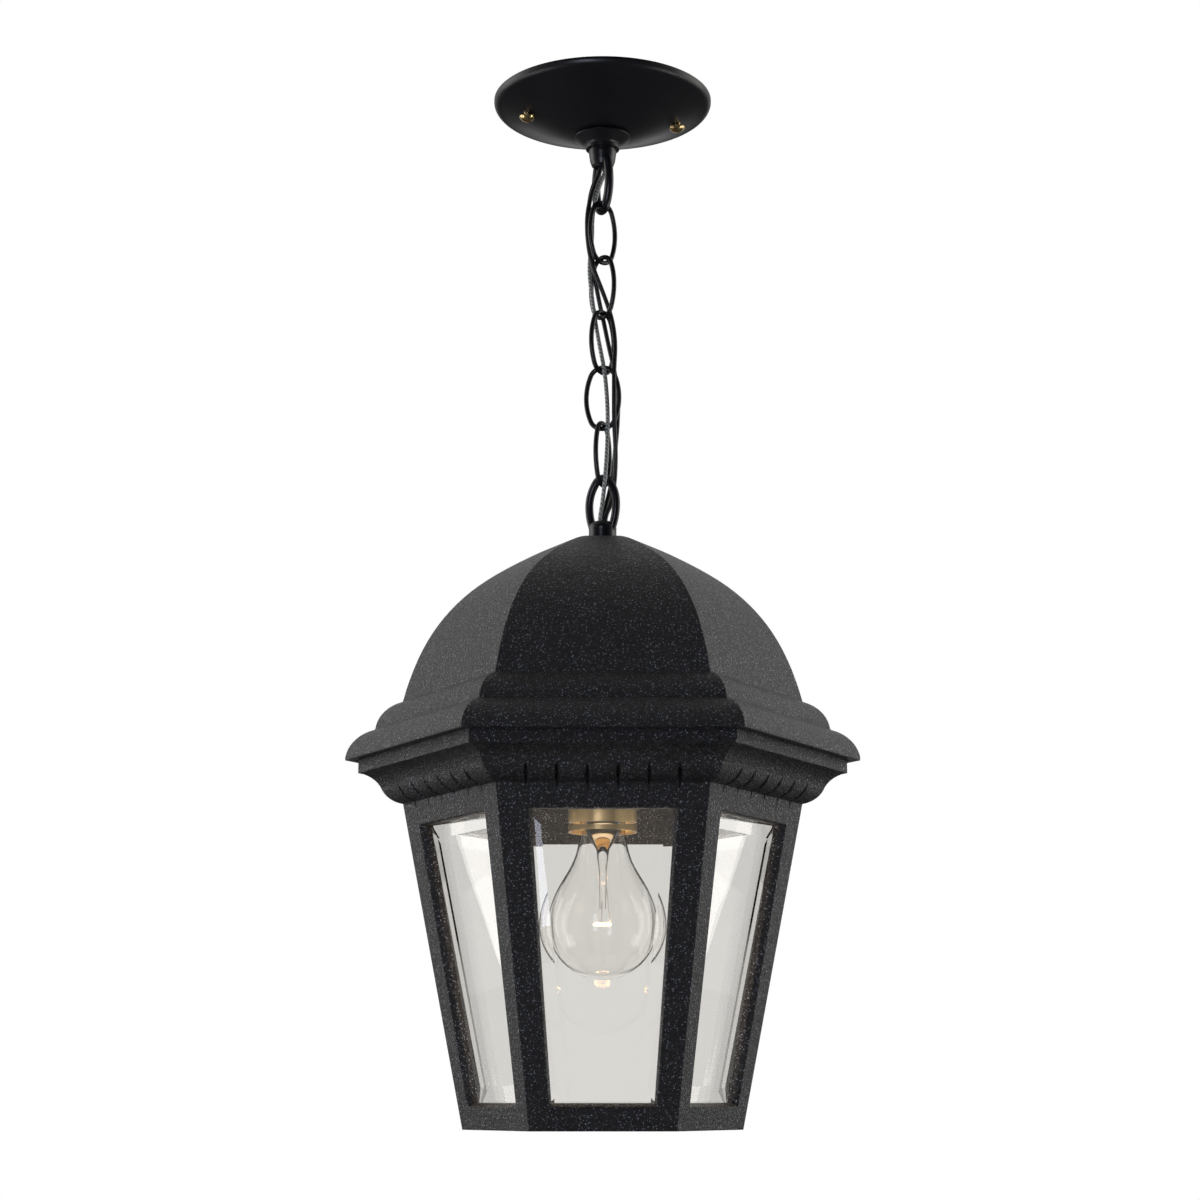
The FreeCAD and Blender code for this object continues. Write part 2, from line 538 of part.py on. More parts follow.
def save_chain():
    """Five links, top to bottom, each the clearance LINK_GAP below the wire it hangs on."""
    low = CANOPY_LOOP_LOW + CANOPY_WIRE
    seat = low + CANOPY_WIRE + LINK_GAP + LINK_WIRE
    print("hinge height", round(low - HANG, 3))
    for n, yaw in enumerate(LINK_YAWS, 1):
        saved("chain_link_%d" % n, make_link(seat, yaw, n in (1, 5)), HANG)
        low = seat - (LINK_LONG - 2 * LINK_WIRE)
        seat = low + 2 * LINK_WIRE + LINK_GAP
        print("hinge height", round(low - HANG, 3))
    return low + LINK_WIRE + LINK_GAP + LANTERN_WIRE


def save_lantern(loop_top):
    """Roof, cage, panes and lamp socket, all hanging from the lower loop."""
    saved("lantern_loop", make_lantern_loop(loop_top), HANG)
    saved("roof", make_roof(), HANG)
    saved("cage", make_cage(), HANG)
    for k in range(6):
        saved("glass_pane_%d" % (k + 1), make_pane(k), HANG)
        saved("pane_clip_%d" % (k + 1), make_clip(k), HANG)
        saved("clip_screw_%d" % (k + 1), make_clip_screw(k), HANG)
    for n, (x, y) in enumerate(corner_points(ROOF_SCREW_R, (0, 2, 4)), 1):
        saved("roof_screw_%d" % n,
              round_head_screw(x, y, 196.9, 214.0, SCREW_R, 4.0, 30 * n), HANG)
    saved("centre_pipe", pillar(PIPE_R, 195.0, 332.0, bore=PIPE_BORE), HANG)
    saved("roof_locknut", hex_nut(14.0, 313.9, 317.5, PIPE_R + FIT), HANG)
    saved("cup_locknut", hex_nut(14.0, CUP_HIGH + 0.05, CUP_HIGH + 3.2, PIPE_R + FIT), HANG)
    saved("socket_cup", make_cup(), HANG)
    saved("socket_body", turned([(14.0, 163.5), (17.4, 163.5), (17.4, 187.0), (13.6, 193.4),
                                 (0, 193.4), (0, 190.5), (14.0, 190.5)]), HANG)
    saved("socket_shell", turned([(13.4, 165.0), (13.9, 165.0), (13.9, 190.4), (13.4, 190.4)]), HANG)
    saved("socket_contact", turned([(0, 188.85), (3.2, 188.85), (3.2, 189.5), (1.0, 189.5),
                                    (1.0, 190.4), (0, 190.4)]), HANG)


def save_bulb():
    """Screw-in bulb."""
    saved("bulb_glass", make_bulb_glass(), HANG)
    saved("bulb_cap", turned([(12.45, CAP_LOW), (CAP_R, CAP_LOW), (CAP_R, 184.0), (9.5, 186.2),
                              (0, 186.2), (0, 185.7), (9.3, 185.7), (12.45, 183.6)]), HANG)
    saved("bulb_insulator", turned([(0, 186.2), (9.4, 186.2), (4.5, 187.8), (0, 187.8)]), HANG)
    saved("bulb_tip", turned([(0, 187.8), (4.4, 187.8), (3.5, 188.6), (0, 188.6)]), HANG)
    saved("bulb_stem", turned([(0, 118.0), (1.8, 118.0), (2.2, 138.0), (3.5, 150.0),
                               (11.5, 163.5), (11.5, 166.0), (0, 166.0)]), HANG)
    saved("filament", make_filament().cut(turned([(0, 118.0), (1.8, 118.0), (2.2, 138.0),
                                                   (3.5, 150.0), (0, 150.0)])), HANG)


def main():
    """Build and save every node."""
    os.makedirs("parts", exist_ok=True)
    save_canopy()
    loop_top = save_chain()
    save_leads()
    save_lantern(loop_top)
    save_bulb()


if __name__ == "__main__":
    main()
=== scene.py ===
"""Looks of a six-sided hanging lantern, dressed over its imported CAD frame."""

import json
import logging
import math
from dataclasses import dataclass, field
from enum import Enum
from typing import Any, Iterable, Sequence

import bmesh
import bpy
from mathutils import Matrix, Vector

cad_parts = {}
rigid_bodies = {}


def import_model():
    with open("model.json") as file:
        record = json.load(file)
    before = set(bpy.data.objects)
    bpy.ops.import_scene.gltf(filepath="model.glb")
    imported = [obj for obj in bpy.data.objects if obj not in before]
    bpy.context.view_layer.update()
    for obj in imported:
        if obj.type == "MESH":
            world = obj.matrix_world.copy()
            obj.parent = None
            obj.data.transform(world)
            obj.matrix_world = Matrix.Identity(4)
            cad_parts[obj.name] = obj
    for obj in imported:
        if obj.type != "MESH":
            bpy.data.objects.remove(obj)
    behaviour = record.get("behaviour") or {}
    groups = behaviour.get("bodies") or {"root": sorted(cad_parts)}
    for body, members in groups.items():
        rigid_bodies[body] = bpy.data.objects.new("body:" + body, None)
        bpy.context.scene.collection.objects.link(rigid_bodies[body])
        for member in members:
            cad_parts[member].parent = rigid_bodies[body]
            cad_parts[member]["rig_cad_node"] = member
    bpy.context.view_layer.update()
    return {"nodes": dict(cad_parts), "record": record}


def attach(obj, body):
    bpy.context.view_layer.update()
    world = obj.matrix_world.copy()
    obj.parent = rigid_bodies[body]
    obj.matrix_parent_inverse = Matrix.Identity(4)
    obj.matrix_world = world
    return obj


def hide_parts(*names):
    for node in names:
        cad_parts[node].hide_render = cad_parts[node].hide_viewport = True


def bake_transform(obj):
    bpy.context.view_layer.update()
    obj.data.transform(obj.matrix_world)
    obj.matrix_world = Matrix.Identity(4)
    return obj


LOG = logging.getLogger("lantern")
HANG = 0.5885  # ceiling face down to the cage's bottom plane, in metres
THROUGH_GLASS = 0.76  # brightness of the white surroundings seen through glass

Colour = tuple[float, float, float]
Point = tuple[float, float, float]


def mm(value: float) -> float:
    """Millimetres as metres."""
    return value / 1000.0


def level(height: float) -> float:
    """Row height in metres of a height in millimetres above the cage's bottom plane."""
    return mm(height) - HANG


class Wiring:
    """A material's node tree, built one node at a time."""

    def __init__(self, name: str) -> None:
        """Start a material that has only a Principled shader.

        Args:
            name: the material's name.
        """
        self.material = bpy.data.materials.new(name)
        self.material.use_nodes = True
        self.tree = self.material.node_tree
        self.shader = self.tree.nodes["Principled BSDF"]

    def node(self, kind: str, settings: dict[str, Any] | None = None,
             **inputs: Any) -> bpy.types.Node:
        """Add a node.

        Args:
            kind: the node's type, without the ShaderNode prefix.
            settings: properties of the node itself.
            inputs: socket values or sockets to link, with spaces written as underscores.

        Returns:
            The new node.
        """
        made = self.tree.nodes.new("ShaderNode" + kind)
        for key, value in (settings or {}).items():
            setattr(made, key, value)
        for key, value in inputs.items():
            self.feed(made.inputs[key.replace("_", " ")], value)
        return made

    def feed(self, socket: bpy.types.NodeSocket, value: Any) -> None:
        """Link a socket to another one, or set its value."""
        if isinstance(value, bpy.types.NodeSocket):
            self.tree.links.new(value, socket)
        else:
            socket.default_value = value

    def set(self, **inputs: Any) -> None:
        """Set or link the Principled shader's sockets, with spaces written as underscores."""
        for key, value in inputs.items():
            self.feed(self.shader.inputs[key.replace("_", " ")], value)

    def place(self, scale: Sequence[float] = (1.0, 1.0, 1.0)) -> bpy.types.NodeSocket:
        """Object coordinates, stretched.

        Args:
            scale: the stretch along X, Y and Z.

        Returns:
            The vector socket.
        """
        where = self.node("TexCoord").outputs["Object"]
        return self.node("Mapping", Vector=where, Scale=tuple(scale)).outputs["Vector"]

    def noise(self, where: bpy.types.NodeSocket, scale: float, detail: float = 2.0,
              roughness: float = 0.5) -> bpy.types.NodeSocket:
        """Noise of a given scale per metre.

        Args:
            where: the coordinates.
            scale: how many cells fit in a metre.
            detail: octaves of finer noise.
            roughness: the strength of those octaves.

        Returns:
            The factor socket.
        """
        made = self.node("TexNoise", Vector=where, Scale=scale, Detail=detail,
                         Roughness=roughness)
        return made.outputs["Fac"]

    def spread(self, value: bpy.types.NodeSocket, low: float, high: float,
               to_low: float = 0.0, to_high: float = 1.0) -> bpy.types.NodeSocket:
        """Map the range low to high of a value onto to_low to to_high, clamped."""
        made = self.node("MapRange", Value=value)
        for key, number in (("From Min", low), ("From Max", high), ("To Min", to_low),
                            ("To Max", to_high)):
            made.inputs[key].default_value = number
        return made.outputs["Result"]

    def blend(self, factor: Any, first: Any, second: Any) -> bpy.types.NodeSocket:
        """Mix two colours.

        Args:
            factor: how much of the second shows.
            first: a colour or a socket.
            second: a colour or a socket.

        Returns:
            The mixed colour.
        """
        made = self.tree.nodes.new("ShaderNodeMix")
        made.data_type = "RGBA"
        self.feed(made.inputs[0], factor)
        self.feed(made.inputs[6], first if isinstance(first, bpy.types.NodeSocket)
                  else (*first, 1.0))
        self.feed(made.inputs[7], second if isinstance(second, bpy.types.NodeSocket)
                  else (*second, 1.0))
        return made.outputs[2]

    def add(self, first: Any, second: Any, how: str = "ADD") -> bpy.types.NodeSocket:
        """Combine two numbers with a Math node."""
        made = self.node("Math", {"operation": how})
        self.feed(made.inputs[0], first)
        self.feed(made.inputs[1], second)
        return made.outputs["Value"]

    def bump(self, height: bpy.types.NodeSocket, depth: float, strength: float = 1.0,
             under: bpy.types.NodeSocket | None = None) -> bpy.types.NodeSocket:
        """Raise the surface by a height.

        Args:
            height: the height, 0 to 1.
            depth: the height of 1, in metres.
            strength: how much of it shows.
            under: a normal that this one lies on.

        Returns:
            The normal.
        """
        made = self.node("Bump", Height=height, Distance=depth, Strength=strength)
        if under is not None:
            self.feed(made.inputs["Normal"], under)
        return made.outputs["Normal"]


class Finish:
    """A surface finish that makes its material once."""

    made: dict[str, bpy.types.Material] = {}

    def wire(self, wiring: Wiring) -> None:
        """Fill in the material's nodes."""
        raise NotImplementedError

    def material(self, name: str) -> bpy.types.Material:
        """The finish's material, made on its first use.

        Args:
            name: the material's name.

        Returns:
            The material.
        """
        if name not in Finish.made:
            wiring = Wiring(name)
            self.wire(wiring)
            Finish.made[name] = wiring.material
        return Finish.made[name]


@dataclass(frozen=True)
class CastPowder(Finish):
    """Black powder coat over a sand casting: pebbled grain, small pits with painted shade in them,
    and glossy grains.
    """

    dark: Colour = (0.0060, 0.0058, 0.0058)
    pale: Colour = (0.018, 0.0168, 0.0160)
    speck: Colour = (0.44, 0.46, 0.54)
    edge: float = 0.0012
    grain: float = 900.0
    pits: float = 190.0
    depth: float = 0.00110

    def wire(self, wiring: Wiring) -> None:
        """Fill in the material's nodes."""
        where = wiring.place()
        fine = wiring.noise(where, self.grain, 2.0, 0.6)
        broad = wiring.noise(where, 120.0, 3.0, 0.6)
        grains = wiring.node("TexVoronoi", Vector=where, Scale=self.grain).outputs["Distance"]
        cells = wiring.node("TexVoronoi", Vector=where, Scale=self.pits).outputs["Distance"]
        pit_relief_and_shade = wiring.spread(wiring.add(cells, wiring.add(broad, 0.35, "MULTIPLY")), 0.20, 0.27)
        glint = wiring.add(wiring.spread(grains, 0.36, 0.20),
                           wiring.spread(fine, 0.47, 0.57), "MULTIPLY")
        tone = wiring.blend(wiring.spread(fine, 0.3, 0.7), self.dark, self.pale)
        tone = wiring.blend(glint, tone, self.speck)
        # Painted shade: the base colour drops to near black inside the pits, where shade falls; the
        # same mask also sinks the pits in the bump.
        tone = wiring.blend(pit_relief_and_shade, (0.004, 0.004, 0.004), tone)
        height = wiring.add(wiring.add(fine, broad), wiring.add(pit_relief_and_shade, 0.5, "MULTIPLY"))
        soft_edge = wiring.node("Bevel", {"samples": 4}, Radius=self.edge).outputs["Normal"]
        wiring.set(Base_Color=tone, Metallic=wiring.add(glint, 0.9, "MULTIPLY"),
                   Roughness=wiring.spread(fine, 0.35, 0.75, 0.44, 0.26),
                   Normal=wiring.bump(height, self.depth, 1.0, soft_edge))


@dataclass(frozen=True)
class Enamel(Finish):
    """Smooth black paint with a faint ripple."""

    colour: Colour = (0.008, 0.008, 0.010)
    roughness: float = 0.30
    ripple: float = 250.0
    depth: float = 0.00003

    def wire(self, wiring: Wiring) -> None:
        """Fill in the material's nodes."""
        where = wiring.place()
        wave = wiring.noise(where, self.ripple, 2.0)
        smear = wiring.noise(where, 40.0, 4.0)
        wiring.set(Base_Color=wiring.blend(smear, self.colour,
                                           tuple(c * 1.8 for c in self.colour)),
                   Roughness=wiring.spread(smear, 0.3, 0.7, self.roughness - 0.04,
                                           self.roughness + 0.06),
                   Normal=wiring.bump(wave, self.depth))


@dataclass(frozen=True)
class Metal(Finish):
    """Bare or plated metal with fine turned or drawn lines."""

    colour: Colour = (0.62, 0.62, 0.60)
    roughness: float = 0.32
    stretch: tuple[float, float, float] = (60.0, 60.0, 2500.0)

    def wire(self, wiring: Wiring) -> None:
        """Fill in the material's nodes."""
        lines = wiring.noise(wiring.place(self.stretch), 1.0, 2.0)
        stain = wiring.noise(wiring.place(), 60.0, 4.0)
        dull = tuple(c * 0.72 for c in self.colour)
        wiring.set(Base_Color=wiring.blend(wiring.spread(stain, 0.4, 0.75), self.colour, dull),
                   Metallic=1.0,
                   Roughness=wiring.spread(lines, 0.3, 0.7, self.roughness - 0.06,
                                           self.roughness + 0.08),
                   Normal=wiring.bump(lines, 0.00002, 0.6))


@dataclass(frozen=True)
class Pane(Finish):
    """Clear glass with a trace of waviness."""

    tint: Colour = (0.972, 0.962, 0.938)
    wave: float = 0.00002

    def wire(self, wiring: Wiring) -> None:
        """Fill in the material's nodes."""
        ripple = wiring.noise(wiring.place(), 25.0, 1.0)
        wiring.set(Base_Color=(*self.tint, 1.0), Roughness=0.0, IOR=1.5,
                   Transmission_Weight=1.0, Normal=wiring.bump(ripple, self.wave))


@dataclass(frozen=True)
class BlownGlass(Finish):
    """Clear blown glass with faint draw lines."""

    tint: Colour = (0.99, 0.985, 0.975)

    def wire(self, wiring: Wiring) -> None:
        """Fill in the material's nodes."""
        draw = wiring.noise(wiring.place((120.0, 120.0, 8.0)), 1.0, 1.0)
        wiring.set(Base_Color=(*self.tint, 1.0), Roughness=0.0, IOR=1.25,
                   Transmission_Weight=1.0, Normal=wiring.bump(draw, 0.00002, 0.5))


@dataclass(frozen=True)
class Plain(Finish):
    """Ceramic, rubber or moulded material with slight mottling."""

    colour: Colour = (0.8, 0.8, 0.77)
    roughness: float = 0.5
    grain: float = 300.0

    def wire(self, wiring: Wiring) -> None:
        """Fill in the material's nodes."""
        mottle = wiring.noise(wiring.place(), self.grain, 3.0)
        wiring.set(Base_Color=wiring.blend(mottle, self.colour,
                                           tuple(c * 0.75 for c in self.colour)),
                   Roughness=wiring.spread(mottle, 0.3, 0.7, self.roughness - 0.05,
                                           self.roughness + 0.08),
                   Normal=wiring.bump(mottle, 0.00003, 0.5))


@dataclass(frozen=True)
class ClearLead(Finish):
    """Clear insulation with a teal edge over bright stranded wire."""

    strand: Colour = (0.52, 0.52, 0.48)
    shade: Colour = (0.16, 0.17, 0.16)
    edge: Colour = (0.02, 0.22, 0.27)

    def wire(self, wiring: Wiring) -> None:
        """Fill in the material's nodes."""
        lay = wiring.node("TexWave", {"wave_type": "BANDS", "bands_direction": "DIAGONAL"},
                          Vector=wiring.place(), Scale=260.0, Distortion=1.5)
        tone = wiring.blend(wiring.spread(lay.outputs["Fac"], 0.1, 0.6), self.shade, self.strand)
        rim = wiring.node("LayerWeight", Blend=0.35).outputs["Facing"]
        wiring.set(Base_Color=wiring.blend(wiring.spread(rim, 0.45, 0.75), tone, self.edge),
                   Roughness=0.18, Normal=wiring.bump(lay.outputs["Fac"], 0.00006, 0.6))


@dataclass(frozen=True)
class Glow(Finish):
    """White-hot wire."""

    colour: Colour = (1.0, 0.62, 0.25)
    strength: float = 120.0

    def wire(self, wiring: Wiring) -> None:
        """Fill in the material's nodes."""
        wiring.set(Base_Color=(*self.colour, 1.0), Emission_Color=(*self.colour, 1.0),
                   Emission_Strength=self.strength)


class Look(Enum):
    """The finishes of the lantern, by the record's material slots."""

    CAST = ("cast_black", CastPowder())
    SHEET = ("black_steel", Enamel(roughness=0.36))
    LOOP = ("black_cast_loop", Enamel(colour=(0.007, 0.007, 0.009), roughness=0.30))
    CHAIN = ("black_chain", Enamel(colour=(0.006, 0.006, 0.007), roughness=0.28))
    GLASS = ("glass", Pane())
    ZINC = ("zinc_steel", Metal())
    BRASS = ("brass", Metal((0.70, 0.50, 0.24), 0.34))
    SCREW = ("brass_screw", Metal((0.78, 0.60, 0.30), 0.22, (300.0, 300.0, 300.0)))
    EARTH = ("green_screw", Metal((0.08, 0.35, 0.12), 0.35, (300.0, 300.0, 300.0)))
    PORCELAIN = ("porcelain", Plain((0.82, 0.80, 0.75), 0.45))
    BULB = ("bulb_glass", BlownGlass())
    CAP = ("bulb_cap", Metal((0.74, 0.60, 0.36), 0.28))
    SOLDER = ("solder", Metal((0.6, 0.6, 0.6), 0.35, (300.0, 300.0, 300.0)))
    INSULATOR = ("black_glass", Plain((0.01, 0.01, 0.012), 0.15))
    FILAMENT = ("filament", Glow())
    SUPPORT = ("zinc_steel", Metal((0.55, 0.50, 0.45), 0.35, (300.0, 300.0, 300.0)))
    LEAD = ("black_lead", Plain((0.010, 0.010, 0.011), 0.38, 500.0))
    EARTH_LEAD = ("clear_lead", ClearLead())

    @property
    def slot(self) -> str:
        """The record's material slot."""
        return self.value[0]

    def material(self) -> bpy.types.Material:
        """The finish's material."""
        return self.value[1].material(self.name.lower())


def dress(piece: bpy.types.Object, look: Look) -> None:
    """Give a piece one finish.

    Args:
        piece: a mesh object.
        look: its finish.
    """
    piece.data.materials.clear()
    piece.data.materials.append(look.material())
    if not piece.get("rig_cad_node"):
        look.slot


def dress_nodes(frame: dict[str, Any]) -> None:
    """Give every CAD node the finish of its record slot.
    """
    looks = {look.slot: look for look in reversed(Look)}
    for entry in frame["record"]["subparts"]:
        dress(frame["nodes"][entry["node"]], looks[entry["material_slot"]])


@dataclass
class Lead:
    """One insulated lead, cut where it passes from one link to the next.

    Attributes:
        node: the CAD node that it stands for.
        radius: its radius in metres.
        look: its finish.
        route: control points in millimetres above the cage's bottom plane.
    """

    node: str
    radius: float
    look: Look
    route: list[Point]
    bodies: tuple[str, ...] = ("canopy", "link_1", "link_2", "link_3", "link_4", "link_5",
                               "lantern")
    joints: tuple[float, ...] = (521.5, 489.5, 456.3, 423.1, 389.9, 356.7)
    cuts: tuple[float, ...] = (507.6, 474.4, 441.2, 408.0, 374.8)

    def line(self) -> list[Vector]:
        """Points read from the lead's smooth centre line.

        Returns:
            Points in metres, top to bottom.
        """
        curve = bpy.data.curves.new(self.node + "_route", "CURVE")
        curve.dimensions = "3D"
        spline = curve.splines.new("NURBS")
        spline.points.add(len(self.route) - 1)
        for point, (x, y, z) in zip(spline.points, self.route):
            point.co = (mm(x), mm(y), level(z), 1.0)
        spline.order_u = 3
        spline.use_endpoint_u = True
        spline.resolution_u = 10
        holder = bpy.data.objects.new(self.node + "_route", curve)
        mesh = bpy.data.meshes.new_from_object(holder)
        points = [vertex.co.copy() for vertex in mesh.vertices]
        bpy.data.objects.remove(holder)
        return points

    def build(self) -> list[bpy.types.Object]:
        """Make the lead's lengths, one from each cut to the next.

        Returns:
            The pieces, top to bottom.
        """
        points = self.line()
        stops = [0]
        for cut in self.cuts:
            stops.append(min(range(len(points)), key=lambda k: abs(points[k].z - level(cut))))
        stops.append(len(points) - 1)
        pieces = []
        for n, (first, last) in enumerate(zip(stops, stops[1:])):
            part = points[first:last + 1]
            piece = wire_along("%s_%d" % (self.node, n + 1), part, self.radius, 4)
            dress(piece, self.look)
            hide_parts(self.node)
            knee = self.joints[n]
            level(knee + 11.0)
            level(knee - 11.0)
            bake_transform(piece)
            run = sum((b - a).length for a, b in zip(part, part[1:]))
            tuple(part[0])
            [tuple(point) for point in part]
            pieces.append(piece)
        return pieces


@dataclass
class Leads:
    """The two supply leads and the ground lead that follow the chain."""

    line_route: list[Point] = field(default_factory=lambda: [
        (-0.9, -1.6, 551.0), (-0.9, -1.6, 545.5), (-5.0, -2.5, 535.0), (-9.0, -3.0, 520.0),
        (-9.0, -2.5, 504.0), (-6.5, -2.0, 488.0), (0.0, -0.5, 472.0), (5.5, 0.0, 456.0),
        (7.5, -1.5, 440.0), (6.5, -5.0, 424.0), (6.5, -6.0, 408.0), (6.5, -5.0, 392.0),
        (7.5, -2.0, 376.0), (7.0, 1.0, 360.0), (5.0, 0.5, 346.0), (1.3, -0.6, 338.0),
        (1.3, -0.6, 333.5)])
    neutral_route: list[Point] = field(default_factory=lambda: [
        (-1.5, 1.2, 551.0), (-1.5, 1.2, 545.5), (-6.5, 0.5, 535.0), (-8.5, 0.0, 520.0),
        (-7.5, 0.0, 504.0), (-5.5, 1.5, 488.0), (-3.0, 3.5, 472.0), (0.5, 5.5, 456.0),
        (3.5, 3.5, 440.0), (7.0, 1.5, 424.0), (9.0, 1.5, 408.0), (8.5, 1.5, 392.0),
        (7.0, 2.5, 376.0), (5.5, 3.0, 360.0), (2.0, 3.5, 346.0), (0.1, 2.0, 338.0),
        (0.1, 2.0, 333.5)])
    ground_route: list[Point] = field(default_factory=lambda: [
        (1.9, 0.3, 551.0), (1.9, 0.3, 545.5), (-2.5, -0.5, 535.0), (-6.0, 1.5, 520.0),
        (-6.0, 4.0, 504.0), (-8.0, 4.0, 488.0), (-6.5, 2.0, 472.0), (-4.5, 0.0, 456.0),
        (-2.0, -2.0, 440.0), (1.0, -4.0, 424.0), (2.5, -5.0, 408.0), (3.0, -5.5, 392.0),
        (2.5, -6.5, 376.0), (1.5, -6.0, 360.0), (0.0, -4.0, 346.0), (-1.5, -1.3, 338.0),
        (-1.5, -1.3, 333.5)])

    def build(self) -> list[bpy.types.Object]:
        """Make all three leads.

        Returns:
            Their pieces.
        """
        leads = (Lead("lead_line", mm(1.3), Look.LEAD, self.line_route),
                 Lead("lead_neutral", mm(1.3), Look.LEAD, self.neutral_route),
                 Lead("lead_ground", mm(1.2), Look.EARTH_LEAD, self.ground_route))
        return [piece for lead in leads for piece in lead.build()]


def wire_along(name: str, points: Sequence[Vector], radius: float, sides: int,
               closed_ends: bool = True) -> bpy.types.Object:
    """Round wire along points.

    Args:
        name: the piece's name.
        points: its centre line, in metres.
        radius: its radius in metres.
        sides: how many quarter divisions round its section.
        closed_ends: whether its ends are capped.

    Returns:
        The mesh object.
    """
    curve = bpy.data.curves.new(name, "CURVE")
    curve.dimensions = "3D"
    curve.bevel_depth = radius
    curve.bevel_resolution = sides
    curve.use_fill_caps = closed_ends
    spline = curve.splines.new("POLY")
    spline.points.add(len(points) - 1)
    for point, place in zip(spline.points, points):
        point.co = (*place, 1.0)
    holder = bpy.data.objects.new(name + "_curve", curve)
    mesh = bpy.data.meshes.new_from_object(holder)
    bpy.data.objects.remove(holder)
    mesh.name = name
    mesh.polygons.foreach_set("use_smooth", [True] * len(mesh.polygons))
    piece = bpy.data.objects.new(name, mesh)
    bpy.context.scene.collection.objects.link(piece)
    return piece


def kept(name: str, shape: bmesh.types.BMesh, smooth_under: float = 40.0) -> bpy.types.Object:
    """Turn a finished bmesh into a piece.

    Args:
        name: the piece's name.
        shape: its bmesh, which is freed.
        smooth_under: edges flatter than this angle in degrees are shaded smooth.

    Returns:
        The mesh object.
    """
    bmesh.ops.remove_doubles(shape, verts=shape.verts[:], dist=mm(0.002))
    bmesh.ops.recalc_face_normals(shape, faces=shape.faces[:])
    for face in shape.faces:
        face.smooth = True
    for edge in shape.edges:
        edge.smooth = (len(edge.link_faces) == 2
                       and edge.calc_face_angle(0.0) < math.radians(smooth_under))
    mesh = bpy.data.meshes.new(name)
    shape.to_mesh(mesh)
    shape.free()
    piece = bpy.data.objects.new(name, mesh)
    bpy.context.scene.collection.objects.link(piece)
    return piece


def spun(name: str, outline: Sequence[tuple[float, float]], steps: int = 72) -> bpy.types.Object:
    """Solid of revolution about the lantern's axis.

    Args:
        name: the piece's name.
        outline: closed outline of radius and height, in millimetres.
        steps: divisions round the turn.

    Returns:
        The mesh object.
    """
    shape = bmesh.new()
    ring = [shape.verts.new((mm(r), 0.0, level(z))) for r, z in outline]
    edges = [shape.edges.new(pair) for pair in zip(ring, ring[1:] + ring[:1])
             if max(pair[0].co.x, pair[1].co.x) > mm(0.001)]
    bmesh.ops.spin(shape, geom=ring + edges, cent=(0.0, 0.0, 0.0), axis=(0.0, 0.0, 1.0),
                   angle=math.tau, steps=steps, use_merge=True)
    return kept(name, shape)


